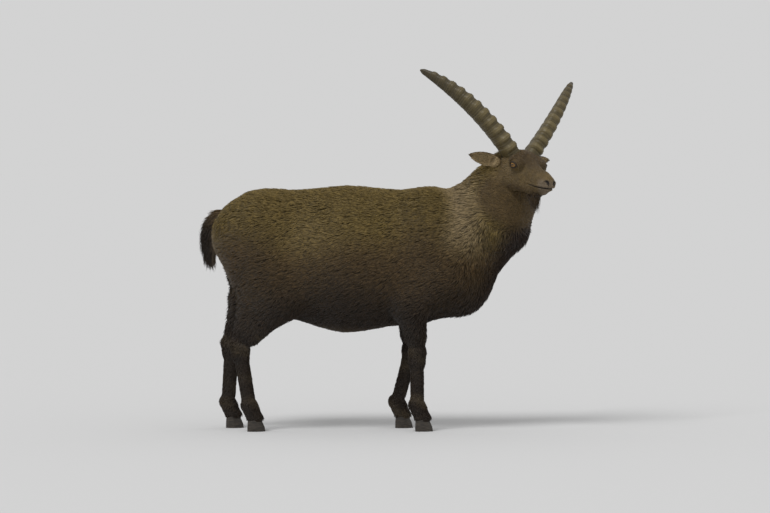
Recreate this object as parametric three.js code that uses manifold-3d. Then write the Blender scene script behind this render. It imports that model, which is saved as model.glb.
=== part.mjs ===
// An alpine ibex, a male of about five years in its autumn coat, standing still with its head turned to its right.
// Millimetres. +X is towards its front, +Y is its left and +Z is up, and the hooves stand on z = 0.
import * as THREE from "three";
import { mergeVertices } from "three/addons/utils/BufferGeometryUtils.js";
import Module from "manifold-3d";

const wasm = await Module();
wasm.setup();

// Driving dimensions, measured over the coat
const SHOULDER_HEIGHT = 860;
const BELLY_HEIGHT = 350;
const RUMP_X = -500;
const NECK_X = 330;
const ELBOW_X = 205;
const STIFLE_X = -262;
const RIB_WIDTH = 0.7;
const HORN_SPREAD = 288;
const HORN_REACH = 342;
const HORN_TURN = 54;
const HORN_RISE = 74;
const HORN_DEPTH = 74;
const HORN_WIDTH = 57;
const HORN_RIDGES = 11;
const EYE_RADIUS = 17;
const EAR_LENGTH = 122;
const EAR_WIDTH = 52;

// Where each foot stands and where the joint above its cannon is, along the body
const STANCE = {
  fore_right: { joint: 226, foot: 250 },
  fore_left: { joint: 204, foot: 180 },
  hind_right: { joint: -396, foot: -342 },
  hind_left: { joint: -434, foot: -424 },
};
const ELBOW_HEIGHT = 452;
const KNEE_HEIGHT = 262;
const STIFLE_HEIGHT = 462;
const HOCK_HEIGHT = 288;
const FETLOCK_HEIGHT = 90;
const HOOF_HEIGHT = 50;

// How the head is carried, in degrees: turned to the right, dipped and tilted
const HEAD_TURN = 60;
const HEAD_DIP = 10;
const HEAD_TILT = -4;
const HORN_SEAT = [597, -72, 995];

// Clear space between touching nodes, and the edge of the facets of each region
const GAP = 0.3;
const TRUNK_FACET = 38;
const NECK_FACET = 30;
const LEG_FACET = 19.5;
const HEAD_FACET = 12.5;

const RIGHT = -1;
const LEFT = 1;
const BOTH = [RIGHT, LEFT];
const ACROSS = new THREE.Vector3(0, 1, 0);
const UP = new THREE.Vector3(0, 0, 1);
const FORWARD = new THREE.Vector3(1, 0, 0);

const rad = THREE.MathUtils.degToRad;
const mix = THREE.MathUtils.lerp;
const smooth = THREE.MathUtils.smoothstep;
const at = (x, y, z) => new THREE.Vector3(x, y, z);

// The head's own frame: x towards the nose, y to its left, z up, with its origin between the horns
const headFrame = new THREE.Matrix4()
  .makeTranslation(...HORN_SEAT)
  .multiply(new THREE.Matrix4().makeRotationZ(-rad(HEAD_TURN)))
  .multiply(new THREE.Matrix4().makeRotationY(rad(HEAD_DIP)))
  .multiply(new THREE.Matrix4().makeRotationX(rad(HEAD_TILT)));
const onHead = (x, y, z) => at(x, y, z).applyMatrix4(headFrame);
const headward = (x, y, z) => at(x, y, z).transformDirection(headFrame);
const HEAD_ACROSS = headward(0, 1, 0);

// Flesh: one smooth body made of lobes. A lobe runs from a to b, its radius going from ra to rb, and is
// squeezed along the direction side to width times that radius. blend is how softly it joins the others.
const lobes = [];
function lobe(a, ra, b, rb, width = 1, blend = 40, side = ACROSS) {
  lobes.push({ a, ra, b, rb, width, blend, side });
}

function addTrunk() {
  const middle = (SHOULDER_HEIGHT + BELLY_HEIGHT) / 2;
  const half = (SHOULDER_HEIGHT - BELLY_HEIGHT) / 2;
  const backZ = SHOULDER_HEIGHT - 96;
  lobe(at(-20, 0, middle - 2), half - 8, at(200, 0, middle - 4), half - 22, RIB_WIDTH, 50);
  lobe(at(-235, 0, middle + 8), half - 37, at(-20, 0, middle - 2), half - 8, RIB_WIDTH, 50);
  lobe(at(-330, 0, backZ - 2), 88, at(285, 0, backZ + 2), 84, 0.95, 50);
  lobe(at(RUMP_X + 200, 0, 694), 144, at(RUMP_X + 117, 0, 690), 117, 0.92, 50);
  lobe(at(300, 0, 568), 150, at(372, 0, 522), 120, 0.78, 60);
  lobe(at(410, 0, 590), 106, at(506, 0, 724), 102, 0.62, 50);
}

function addNeck() {
  const base = at(NECK_X, 0, 657);
  const low = at(NECK_X + 152, 0, 758);
  const high = at(NECK_X + 198, 0, 840);
  const top = at(NECK_X + 226, -8, 908);
  lobe(base, 190, low, 148, 0.72, 50);
  lobe(low, 146, high, 122, 0.74, 40);
  lobe(high, 118, top, 88, 0.82, 30);
}

function addForeQuarter(side, { joint, foot }) {
  const blade = at(262, side * 60, 775);
  const point = at(342, side * 88, 560);
  const elbow = at(ELBOW_X, side * 100, ELBOW_HEIGHT);
  const knee = at(joint, side * 84, KNEE_HEIGHT);
  const fetlock = at(foot - 22, side * 80, FETLOCK_HEIGHT);
  const coronet = at(foot - 3, side * 80, HOOF_HEIGHT - 6);
  lobe(blade, 66, point, 80, 0.75, 80);
  lobe(point, 76, elbow, 58, 0.75, 50);
  lobe(at(elbow.x - 14, elbow.y, elbow.z + 14), 50, at(mix(elbow.x, knee.x, 0.55), side * 92, 345), 38, 0.85, 30);
  lobe(at(elbow.x + 18, elbow.y, elbow.z - 8), 48, at(knee.x, knee.y, knee.z + 22), 29, 0.9, 24);
  lobe(at(knee.x + 3, knee.y, knee.z + 18), 31, at(knee.x + 2, knee.y, knee.z - 14), 29, 0.95, 14);
  lobe(knee, 26, at(mix(knee.x, fetlock.x, 0.8), fetlock.y, 125), 24.5, 0.88, 14);
  lobe(at(fetlock.x - 3, fetlock.y, fetlock.z + 6), 29, at(fetlock.x + 4, fetlock.y, fetlock.z - 8), 28, 0.98, 12);
  lobe(fetlock, 26, coronet, 31, 0.95, 12);
}

function addHindQuarter(side, { joint, foot }) {
  const stifle = at(STIFLE_X, side * 98, STIFLE_HEIGHT);
  const hock = at(joint, side * 86, HOCK_HEIGHT);
  const fetlock = at(foot - 22, side * 84, FETLOCK_HEIGHT);
  const coronet = at(foot - 3, side * 84, HOOF_HEIGHT - 6);
  lobe(at(RUMP_X + 152, side * 72, 690), 124, at(stifle.x - 4, stifle.y, stifle.z + 14), 82, 0.74, 80);
  lobe(at(RUMP_X + 110, side * 62, 675), 72, at(joint + 58, side * 84, 470), 58, 0.75, 45);
  lobe(at(stifle.x - 4, stifle.y, stifle.z - 6), 74, at(mix(stifle.x, hock.x, 0.7), side * 90, 345), 42, 0.78, 40);
  lobe(at(joint + 40, side * 84, 460), 52, at(hock.x + 4, hock.y, hock.z + 12), 27, 0.75, 24);
  lobe(at(joint + 24, side * 85, 420), 28, at(hock.x - 18, hock.y, hock.z + 22), 16, 0.8, 24);
  lobe(at(hock.x - 19, hock.y, hock.z + 18), 17, at(hock.x - 10, hock.y, hock.z - 12), 23, 0.9, 20);
  lobe(at(hock.x + 4, hock.y, hock.z + 4), 31, at(hock.x + 2, hock.y, hock.z - 18), 28, 0.85, 16);
  lobe(at(hock.x, hock.y, hock.z - 8), 27, at(mix(hock.x, fetlock.x, 0.8), fetlock.y, 125), 25, 0.88, 16);
  lobe(at(fetlock.x - 3, fetlock.y, fetlock.z + 6), 29, at(fetlock.x + 4, fetlock.y, fetlock.z - 8), 28, 0.98, 12);
  lobe(fetlock, 26, coronet, 31, 0.95, 12);
}

function addHead() {
  const part = (ax, ay, az, ra, bx, by, bz, rb, width, blend) =>
    lobe(onHead(ax, ay, az), ra, onHead(bx, by, bz), rb, width, blend, HEAD_ACROSS);
  part(-34, 0, -66, 54, 28, 0, -60, 55, 1.0, 24);
  part(50, 0, -66, 47, 160, 0, -84, 31, 0.86, 24);
  part(160, 0, -84, 34, 190, 0, -87, 31, 0.98, 18);
  part(112, 0, -118, 22, 174, 0, -113, 19, 0.98, 16);
  for (const side of BOTH) {
    part(-12, side * 28, -38, 34, 8, side * 26, -36, 32, 1, 20);
    part(42, side * 46, -40, 23, 70, side * 43, -43, 17, 1, 14);
    part(10, side * 38, -92, 38, 62, side * 30, -98, 28, 0.8, 20);
    part(-8, side * 36, -112, 32, 118, side * 15, -118, 19, 0.9, 18);
  }
}

addTrunk();
addNeck();
for (const [name, pose] of Object.entries(STANCE)) {
  const side = name.endsWith("left") ? LEFT : RIGHT;
  (name.startsWith("fore") ? addForeQuarter : addHindQuarter)(side, pose);
}
addHead();

// The distance from p to one lobe, negative inside it, corrected where the squeeze makes it too long
function lobeDistance({ a, ra, b, rb, width, side }, p) {
  const squeeze = 1 / width - 1;
  const q = p.clone().sub(a);
  q.addScaledVector(side, q.dot(side) * squeeze);
  const axis = b.clone().sub(a);
  axis.addScaledVector(side, axis.dot(side) * squeeze);
  const t = Math.min(1, Math.max(0, q.dot(axis) / axis.lengthSq()));
  q.addScaledVector(axis, -t);
  const reach = q.length();
  const lean = q.dot(side) / Math.max(reach, 1e-6);
  return (reach - mix(ra, rb, t)) / Math.sqrt(1 - lean * lean + (lean * lean) / (width * width));
}

function flesh(p) {
  let d = Infinity;
  for (const one of lobes) {
    const e = lobeDistance(one, p);
    const h = Math.max(one.blend - Math.abs(d - e), 0) / one.blend;
    d = Math.min(d, e) - (h * h * one.blend) / 4;
  }
  return d;
}

// The surface where distance is 0 inside the box low to high of a frame, closed by the box where it runs on
function surfaceOf(distance, low, high, cell, frame = new THREE.Matrix4()) {
  const count = ["x", "y", "z"].map((k) => Math.ceil((high[k] - low[k]) / cell) + 3);
  const index = (i, j, k) => (i * count[1] + j) * count[2] + k;
  const middle = low.clone().add(high).multiplyScalar(0.5);
  const half = high.clone().sub(low).multiplyScalar(0.5);
  const point = (i, j, k) => at(low.x + (i - 1) * cell, low.y + (j - 1) * cell, low.z + (k - 1) * cell);
  const value = (p) => {
    const wall = Math.max(...["x", "y", "z"].map((k) => Math.abs(p[k] - middle[k]) - half[k]));
    return Math.max(distance(p.clone().applyMatrix4(frame)), wall);
  };
  const values = new Float64Array(count[0] * count[1] * count[2]);
  for (let i = 0; i < count[0]; i++)
    for (let j = 0; j < count[1]; j++)
      for (let k = 0; k < count[2]; k++) values[index(i, j, k)] = value(point(i, j, k));

  const corners = [0, 1, 2, 3, 4, 5, 6, 7].map((n) => [n & 1, (n >> 1) & 1, n >> 2]);
  const edges = corners.flatMap((c, n) => [1, 2, 4].filter((bit) => !(n & bit)).map((bit) => [n, n | bit]));
  const made = new Map();
  const positions = [];
  // The vertex of a cell is the middle of where its edges cross the surface, then moved onto the surface
  function vertexOf(i, j, k) {
    const key = index(i, j, k);
    if (made.has(key)) return made.get(key);
    const sum = at(0, 0, 0);
    let crossings = 0;
    for (const [m, n] of edges) {
      const [am, an] = [corners[m], corners[n]];
      const vm = values[index(i + am[0], j + am[1], k + am[2])];
      const vn = values[index(i + an[0], j + an[1], k + an[2])];
      if (vm < 0 === vn < 0) continue;
      const from = point(i + am[0], j + am[1], k + am[2]);
      sum.add(from.lerp(point(i + an[0], j + an[1], k + an[2]), vm / (vm - vn)));
      crossings++;
    }
    const p = sum.divideScalar(crossings);
    const step = cell * 0.05;
    const d = value(p);
    const slope = at(
      value(p.clone().setX(p.x + step)) - d,
      value(p.clone().setY(p.y + step)) - d,
      value(p.clone().setZ(p.z + step)) - d,
    ).divideScalar(step);
    const move = Math.max(-cell / 3, Math.min(cell / 3, d / Math.max(slope.length(), 0.3)));
    p.addScaledVector(slope.normalize(), -move).applyMatrix4(frame);
    made.set(key, positions.push(p) - 1);
    return positions.length - 1;
  }
  const triangles = [];
  function quad(a, b, c, d) {
    const across = positions[a].distanceTo(positions[c]) < positions[b].distanceTo(positions[d]);
    triangles.push(...(across ? [a, b, c, a, c, d] : [a, b, d, b, c, d]));
  }
  const axes = [
    [[1, 0, 0], [0, 1, 0], [0, 0, 1]],
    [[0, 1, 0], [0, 0, 1], [1, 0, 0]],
    [[0, 0, 1], [1, 0, 0], [0, 1, 0]],
  ];
  for (let i = 1; i < count[0] - 1; i++)
    for (let j = 1; j < count[1] - 1; j++)
      for (let k = 1; k < count[2] - 1; k++)
        for (const [along, u, v] of axes) {
          const inside = values[index(i, j, k)] < 0;
          if (inside === values[index(i + along[0], j + along[1], k + along[2])] < 0) continue;
          const round = [[0, 0], [1, 0], [1, 1], [0, 1]].map(([m, n]) =>
            vertexOf(i - m * u[0] - n * v[0], j - m * u[1] - n * v[1], k - m * u[2] - n * v[2]),
          );
          quad(...(inside ? round : round.reverse()));
        }
  return geometryOf(positions, triangles);
}

function geometryOf(positions, triangles) {
  return new THREE.BufferGeometry().setFromPoints(positions).setIndex(triangles);
}

// A closed surface through rings of alike point counts, each end closed by a fan round its middle
function loft(rings) {
  const size = rings[0].length;
  const positions = rings.flat();
  const triangles = [];
  for (let i = 0; i + 1 < rings.length; i++)
    for (let j = 0; j < size; j++) {
      const [a, b] = [i * size + j, i * size + ((j + 1) % size)];
      triangles.push(a, b, b + size, a, b + size, a + size);
    }
  for (const [start, turned] of [[0, true], [(rings.length - 1) * size, false]]) {
    const ring = positions.slice(start, start + size);
    const centre = ring.reduce((sum, p) => sum.add(p), at(0, 0, 0)).divideScalar(size);
    const hub = positions.push(centre) - 1;
    for (let j = 0; j < size; j++) {
      const [a, b] = [start + j, start + ((j + 1) % size)];
      triangles.push(...(turned ? [b, a, hub] : [a, b, hub]));
    }
  }
  return geometryOf(positions, triangles);
}

// Solids for joining and cutting, made from closed geometry whichever way its faces point
function solid(geometry) {
  const bare = new THREE.BufferGeometry().setAttribute("position", geometry.getAttribute("position"));
  bare.setIndex(geometry.index);
  const merged = mergeVertices(bare, 1e-3);
  const build = (triVerts) =>
    new wasm.Manifold(new wasm.Mesh({ numProp: 3, vertProperties: merged.attributes.position.array, triVerts }));
  const made = build(new Uint32Array(merged.index.array));
  return made.volume() > 0 ? made : build(new Uint32Array(merged.index.array).reverse());
}

function meshOf(body) {
  const { vertProperties, triVerts } = body.getMesh();
  const geometry = new THREE.BufferGeometry();
  geometry.setAttribute("position", new THREE.BufferAttribute(new Float32Array(vertProperties), 3));
  return geometry.setIndex(new THREE.BufferAttribute(new Uint32Array(triVerts), 1));
}

function largest(body) {
  return body.decompose().reduce((best, one) => (one.volume() > best.volume() ? one : best));
}

function joined(bodies) {
  return bodies.reduce((sum, one) => sum.add(one));
}

function ball(centre, radius, stretch = [1, 1, 1], turn = new THREE.Quaternion(), steps = 12) {
  const geometry = new THREE.SphereGeometry(radius, steps, Math.round(steps * 0.7));
  const size = at(...stretch);
  return solid(geometry.applyMatrix4(new THREE.Matrix4().compose(centre, turn, size)));
}

const HUGE = 4000;
// Everything on the side of a plane that its normal points away from
function behind(point, normal, gap = GAP / 2) {
  const turn = new THREE.Quaternion().setFromUnitVectors(UP, normal);
  const middle = point.clone().addScaledVector(normal, -HUGE / 2 - gap);
  const box = new THREE.BoxGeometry(HUGE, HUGE, HUGE);
  return solid(box.applyMatrix4(new THREE.Matrix4().compose(middle, turn, at(1, 1, 1))));
}
const ahead = (point, normal, gap = GAP / 2) => behind(point, normal.clone().negate(), gap);

// Planes that part the body
const neckPlane = [at(NECK_X + 66, 0, 672), at(0.93, 0, 0.37).normalize()];
const headPlane = [onHead(-46, 0, -70), headward(0.97, 0, 0.24)];

// A leg is parted from the trunk below a slope that rises outwards from the armpit or groin
const LEG_SLOPE = 42;
const LEG_REACH = 260;
function legCutter(name, gap = 0) {
  const side = name.endsWith("left") ? LEFT : RIGHT;
  const [from, to, inner] = name.startsWith("fore") ? [140, 330, 344] : [-530, -196, 352];
  const slope = Math.tan(rad(LEG_SLOPE));
  const edge = GAP / 2 - gap;
  const top = (y) => inner + gap * 1.4 + slope * y;
  const outline = new THREE.Shape([
    new THREE.Vector2(edge, -10),
    new THREE.Vector2(LEG_REACH, -10),
    new THREE.Vector2(LEG_REACH, top(LEG_REACH)),
    new THREE.Vector2(edge, top(edge)),
  ]);
  const block = new THREE.ExtrudeGeometry(outline, { depth: to - from + 2 * gap, bevelEnabled: false });
  const stand = new THREE.Matrix4().makeBasis(at(0, side, 0), UP, FORWARD).setPosition(from - gap, 0, 0);
  return solid(block.applyMatrix4(stand));
}

// The flesh of one region, or with its skin moved out by extra to cut what grows on it
const inTrunk = (extra) =>
  solid(surfaceOf((p) => flesh(p) - extra, at(-620, -230, 280), at(500, 230, 900), TRUNK_FACET));
const inNeck = (extra) =>
  solid(surfaceOf((p) => flesh(p) - extra, at(330, -170, 400), at(700, 170, 1030), NECK_FACET));
const inHead = (extra) =>
  solid(surfaceOf((p) => flesh(p) - extra, at(-80, -90, -175), at(250, 90, 30), HEAD_FACET, headFrame));

function makeTrunk() {
  const whole = inTrunk(0);
  const kept = whole.intersect(behind(...neckPlane));
  return largest(kept.subtract(joined(Object.keys(STANCE).map((name) => legCutter(name, GAP)))));
}

function makeNeck() {
  return largest(inNeck(0).intersect(ahead(...neckPlane)).intersect(behind(...headPlane)));
}

// A hoof: two toes, each a D-shaped horn block, held together at the heel
function toe(side) {
  const rings = [
    { z: 0, back: -30, front: 33, width: 25 },
    { z: 14, back: -30, front: 31, width: 26 },
    { z: 32, back: -29, front: 23, width: 25 },
    { z: 62, back: -26, front: 12, width: 23 },
  ].map(({ z, back, front, width }) => {
    const length = front - back;
    const outline = [[0, 0.15], [0, 0.8], [0.06, 0.93], [0.3, 1], [0.72, 0.8], [1, 0.5], [1, 0.2], [0.7, 0.03], [0.3, 0]];
    return outline.map(([across, along]) => at(back + along * length, side * (2 + across * width), z));
  });
  return solid(loft(rings));
}

function makeLeg(name) {
  const pose = STANCE[name];
  const side = name.endsWith("left") ? LEFT : RIGHT;
  const fore = name.startsWith("fore");
  const width = fore ? 80 : 84;
  const low = Math.min(pose.joint, pose.foot) - (fore ? 120 : 110);
  const high = at(fore ? 345 : -170, side > 0 ? 210 : 0, fore ? 560 : 590);
  const flank = surfaceOf(flesh, at(low, side > 0 ? 0 : -210, 20), high, LEG_FACET);
  const leg = solid(flank).intersect(legCutter(name));
  const jointPlane = fore
    ? [at(pose.joint, 0, KNEE_HEIGHT + 2), UP]
    : [at(pose.joint, 0, HOCK_HEIGHT - 34), UP];
  const slant = at(-0.3, 0, 1).normalize();
  const coronet = [at(pose.foot, side * width, HOOF_HEIGHT - 6), slant];
  const claws = BOTH.map((way) => dewclaw(at(pose.foot - 40, side * width + way * 15, FETLOCK_HEIGHT - 18), way));
  const toes = BOTH.map((way) => toe(way).translate([pose.foot, side * width, 0]));
  const heel = ball(at(pose.foot - 8, side * width, HOOF_HEIGHT - 20), 17, [1, 0.9, 1.1]);
  const lower = joined([leg.intersect(behind(...jointPlane)), ...claws]);
  return {
    upper: largest(leg.intersect(ahead(...jointPlane))),
    lower: largest(lower.intersect(ahead(...coronet))),
    hoof: largest(joined([...toes, heel]).intersect(behind(...coronet))),
  };
}

function dewclaw(root, way) {
  const rings = [
    { along: -18, radius: 9 },
    { along: 2, radius: 9 },
    { along: 13, radius: 5 },
  ].map(({ along, radius }) =>
    [0, 1, 2, 3, 4, 5].map((n) => {
      const angle = (n / 6) * 2 * Math.PI;
      return at(
        root.x - along * 0.7 + radius * 0.5 * Math.cos(angle),
        root.y + way * along * 0.15 + radius * Math.sin(angle),
        root.z - along * 0.7 + radius * Math.cos(angle),
      );
    }),
  );
  return solid(loft(rings));
}

// Horns: a flat, ridged front and a rounded, narrower back, curving up, back and outwards
const HORN_SIDES = 8;
const hornCentre = (s, side) => {
  const radius = HORN_REACH / (2 * Math.sin(rad(HORN_TURN / 2)));
  const angle = rad(HORN_RISE - HORN_TURN * s);
  const start = rad(HORN_RISE);
  const back = radius * (Math.sin(start) - Math.sin(angle));
  const up = radius * (Math.cos(angle) - Math.cos(start));
  return { centre: onHead(-4 - back, side * (32 + HORN_SPREAD * s), -30 + up), angle };
};

function hornRing(s, side, ridge) {
  const { centre, angle } = hornCentre(s, side);
  const ahead = hornCentre(Math.min(1, s + 0.01), side).centre;
  const before = hornCentre(Math.max(0, s - 0.01), side).centre;
  const along = ahead.sub(before).normalize();
  const front = headward(Math.sin(angle), 0, Math.cos(angle));
  const across = along.clone().cross(front).normalize();
  front.copy(across).cross(along).normalize();
  const taper = 1 - 0.28 * s - 0.52 * s ** 4;
  return Array.from({ length: HORN_SIDES }, (_, n) => {
    const turn = ((n + 0.5) / HORN_SIDES) * 2 * Math.PI;
    const [c, k] = [Math.cos(turn), Math.sin(turn)];
    const square = (Math.abs(c) ** 2.8 + Math.abs(k) ** 2.8) ** (-1 / 2.8);
    const depth = (HORN_DEPTH / 2) * taper * square * c + ridge * Math.max(0, c) ** 0.5;
    const width = (HORN_WIDTH / 2) * taper * square * k * (0.86 + 0.14 * c) + ridge * 0.22 * k;
    return centre.clone().addScaledVector(front, depth).addScaledVector(across, width);
  });
}

function makeHorn(side) {
  const rings = [hornRing(-0.06, side, 0), hornRing(0.015, side, 0)];
  for (let n = 0; n < HORN_RIDGES; n++) {
    const pitch = 0.88 / HORN_RIDGES;
    const s = 0.05 + n * pitch;
    const height = mix(9, 4, n / (HORN_RIDGES - 1));
    rings.push(hornRing(s, side, 0), hornRing(s + 0.3 * pitch, side, height), hornRing(s + 0.55 * pitch, side, height));
    rings.push(hornRing(s + 0.75 * pitch, side, 0));
  }
  rings.push(hornRing(0.965, side, 0));
  rings.push(hornRing(1, side, 0).map((p, _, ring) => p.lerp(ring[0].clone().lerp(ring[HORN_SIDES / 2], 0.5), 0.45)));
  return solid(loft(rings));
}

// Ears: a cupped leaf on a short stalk, open forwards
const EAR_STEPS = 8;
const EAR_ROOT = [-40, 56, -62];
function earRing(s, side) {
  const along = headward(-0.3, side * 0.94, 0.16);
  const open = headward(0.88, side * 0.3, -0.36);
  const across = along.clone().cross(open).normalize();
  open.copy(across).cross(along).normalize();
  const leaf = s < 0.42 ? Math.sqrt(1 - ((s - 0.42) / 0.5) ** 2) : 1 - ((s - 0.42) / 0.6) ** 2.2;
  const half = (EAR_WIDTH / 2) * leaf;
  const depth = half * mix(0.95, 0.5, s);
  const skin = mix(7, 4, s);
  const hollow = mix(-0.6 * half, depth - skin, smooth(s, 0.08, 0.3));
  const centre = onHead(EAR_ROOT[0], side * EAR_ROOT[1], EAR_ROOT[2]).addScaledVector(along, s * EAR_LENGTH);
  const arc = [-90, -54, -18, 18, 54, 90].map(rad);
  const outer = arc.map((a) => [half * Math.sin(a), -depth * Math.cos(a)]);
  const inner = arc.map((a) => [(half - skin / 2) * Math.sin(-a), -hollow * Math.cos(a)]).slice(1, -1);
  return [...outer, ...inner].map(([w, d]) => centre.clone().addScaledVector(across, w).addScaledVector(open, d));
}

function makeEar(side) {
  return solid(loft(Array.from({ length: EAR_STEPS + 1 }, (_, n) => earRing(n / EAR_STEPS, side))));
}

// A lock of long hair: flat, tapered and bent, with its root inside what it grows from
function lock(root, along, bend, face, { length, width, thick }) {
  const rings = [0, 0.35, 0.7, 1].map((s) => {
    const centre = root.clone().addScaledVector(along, s * length).addScaledVector(bend, s * s * length);
    const wide = width * Math.cos(s * 1.42);
    const flat = along.clone().cross(face).normalize();
    return [[wide, 0], [0, thick], [-wide, 0], [0, -thick]].map(([w, t]) =>
      centre.clone().addScaledVector(flat, w / 2).addScaledVector(face, (t / 2) * Math.cos(s * 1.3)),
    );
  });
  return solid(loft(rings));
}

const TAIL_SPINE = [[-428, 0, 768], [-522, 0, 758], [-507, 0, 614]];
function makeTail() {
  const curve = new THREE.QuadraticBezierCurve3(...TAIL_SPINE.map((p) => at(...p)));
  const backOf = (s) => ACROSS.clone().cross(curve.getTangent(s)).normalize();
  const ring = (s, radius) =>
    Array.from({ length: 8 }, (_, n) => {
      const angle = (n / 8) * 2 * Math.PI;
      const out = ACROSS.clone().multiplyScalar(1.1 * Math.cos(angle)).addScaledVector(backOf(s), Math.sin(angle));
      return curve.getPoint(s).addScaledVector(out, radius);
    });
  const core = solid(loft([ring(0, 24), ring(0.3, 27), ring(0.55, 28), ring(0.8, 25), ring(1, 14)]));
  const locks = [];
  for (let row = 0; row < 4; row++)
    for (let n = 0; n < 6; n++) {
      const s = 0.34 + row * 0.2;
      const angle = ((n + (row % 2) * 0.5) / 6) * 2 * Math.PI;
      const out = ACROSS.clone().multiplyScalar(Math.cos(angle)).addScaledVector(backOf(s), Math.sin(angle));
      const start = curve.getPoint(s).addScaledVector(out, 16);
      const size = { length: mix(60, 70, (n % 3) / 2), width: 31, thick: 11 };
      const fall = curve.getTangent(s).addScaledVector(out, 0.24).normalize();
      locks.push(lock(start, fall, out.clone().multiplyScalar(-0.1), out, size));
    }
  return joined([core, ...locks]);
}

// The beard: a short tuft of locks under the chin
function makeBeard() {
  const locks = [];
  for (let row = 0; row < 5; row++)
    for (let n = 0; n < 3; n++) {
      const spot = onHead(104 + row * 13, (n - 1) * 9, -124);
      const fall = at(0, 0, -1).addScaledVector(headward(-0.2 + row * 0.05, (n - 1) * 0.16, 0), 1).normalize();
      const size = { length: 78 - Math.abs(row - 2) * 9 - (n % 2 ? 0 : 6), width: 17, thick: 10 };
      locks.push(lock(spot, fall, headward(-0.14, 0, 0), headward(1, 0, 0), size));
    }
  return joined(locks);
}

const EYE_SPOT = [58, 56, -48];
const eyeCentre = (side) => onHead(EYE_SPOT[0], side * EYE_SPOT[1], EYE_SPOT[2]);

// The two lids of an eye: a cap over the ball above its slit, and a smaller one below
function lids(side) {
  const centre = eyeCentre(side);
  const cap = ball(centre, EYE_RADIUS + 4, [1, 1, 1], new THREE.Quaternion(), 12);
  const look = headward(0.35, side * 0.93, 0);
  const upper = cap.intersect(ahead(centre, headward(-0.1, side * 0.3, 0.95), 6));
  const lower = cap.intersect(ahead(centre, headward(0, side * 0.1, -0.99), 8));
  const corner = centre.clone().addScaledVector(look, -3);
  return [upper, lower].map((lid) => lid.intersect(ahead(corner, look, 0)));
}

// The line of the mouth, cut a few millimetres deep round the muzzle
function mouthLine() {
  const line = [[98, -104], [130, -104.5], [165, -104], [198, -102.5], [236, -98]];
  const above = line.map(([x, z]) => new THREE.Vector2(x, z + 1.4));
  const below = line.map(([x, z]) => new THREE.Vector2(x, z - 1.4)).reverse();
  const strip = new THREE.ExtrudeGeometry(new THREE.Shape([...above, ...below]), { depth: 120, bevelEnabled: false });
  const stand = new THREE.Matrix4().makeBasis(FORWARD, UP, at(0, -1, 0)).setPosition(0, 60, 0);
  const core = solid(surfaceOf((p) => flesh(p) + 5, at(70, -60, -150), at(240, 60, -40), 11, headFrame));
  return solid(strip.applyMatrix4(stand).applyMatrix4(headFrame)).subtract(core);
}

// A slanted slit that runs outwards, back and up
function nostril(side) {
  const long = headward(-0.45, side * 0.62, 0.62);
  const inwards = headward(-0.8, -side * 0.6, 0);
  const short = long.clone().cross(inwards).normalize();
  inwards.copy(short).cross(long).normalize();
  const turn = new THREE.Quaternion().setFromRotationMatrix(new THREE.Matrix4().makeBasis(long, inwards, short));
  return ball(onHead(216, side * 14, -79), 11, [1, 0.8, 0.34], turn, 10);
}

function makeHead() {
  const whole = inHead(0).intersect(ahead(...headPlane));
  const full = joined([whole, makeBeard(), ...BOTH.flatMap(lids)]);
  const cuts = [mouthLine(), ...BOTH.map(nostril), ...BOTH.map((side) => ball(eyeCentre(side), EYE_RADIUS + GAP * 1.2))];
  return largest(full.subtract(joined(cuts)));
}

const looks = {
  coat: { color: 0x5a4630, roughness: 0.9 },
  dark_coat: { color: 0x2e2118, roughness: 0.9 },
  horn: { color: 0x6e6146, roughness: 0.7 },
  hoof: { color: 0x26221e, roughness: 0.55 },
  eye: { color: 0x6b4a1c, roughness: 0.1 },
};

const ibex = new THREE.Group();
function addNode(name, body, look) {
  const mesh = new THREE.Mesh(meshOf(body), new THREE.MeshStandardMaterial({ ...looks[look], metalness: 0 }));
  mesh.name = name;
  ibex.add(mesh);
}

addNode("torso", makeTrunk(), "coat");
addNode("neck", makeNeck(), "coat");
addNode("head", makeHead(), "coat");
addNode("tail", largest(makeTail().subtract(inTrunk(2))), "dark_coat");
for (const name of Object.keys(STANCE)) {
  const { upper, lower, hoof } = makeLeg(name);
  addNode(`${name}_upper_leg`, upper, "coat");
  addNode(`${name}_lower_leg`, lower, "dark_coat");
  addNode(`${name}_hoof`, hoof, "hoof");
}
const nape = inHead(0.8).add(inNeck(0.8));
for (const side of BOTH) {
  const word = side > 0 ? "left" : "right";
  addNode(`horn_${word}`, largest(makeHorn(side).subtract(nape)), "horn");
  addNode(`ear_${word}`, largest(makeEar(side).subtract(nape)), "coat");
  addNode(`eye_${word}`, ball(eyeCentre(side), EYE_RADIUS), "eye");
}

// The origin goes on the floor, under the middle of the whole animal
const extent = new THREE.Box3().setFromObject(ibex, true);
const middle = extent.getCenter(at(0, 0, 0));
ibex.position.set(-middle.x, -middle.y, -extent.min.z);

export default ibex;
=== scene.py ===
# The looks of an alpine ibex in its dark autumn coat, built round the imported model.
# It is made in millimetres in the animal's own frame, as its solids were: +X is its front, +Y its left
# and +Z up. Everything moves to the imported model's frame, in metres, as it becomes a mesh.
import math

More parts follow.
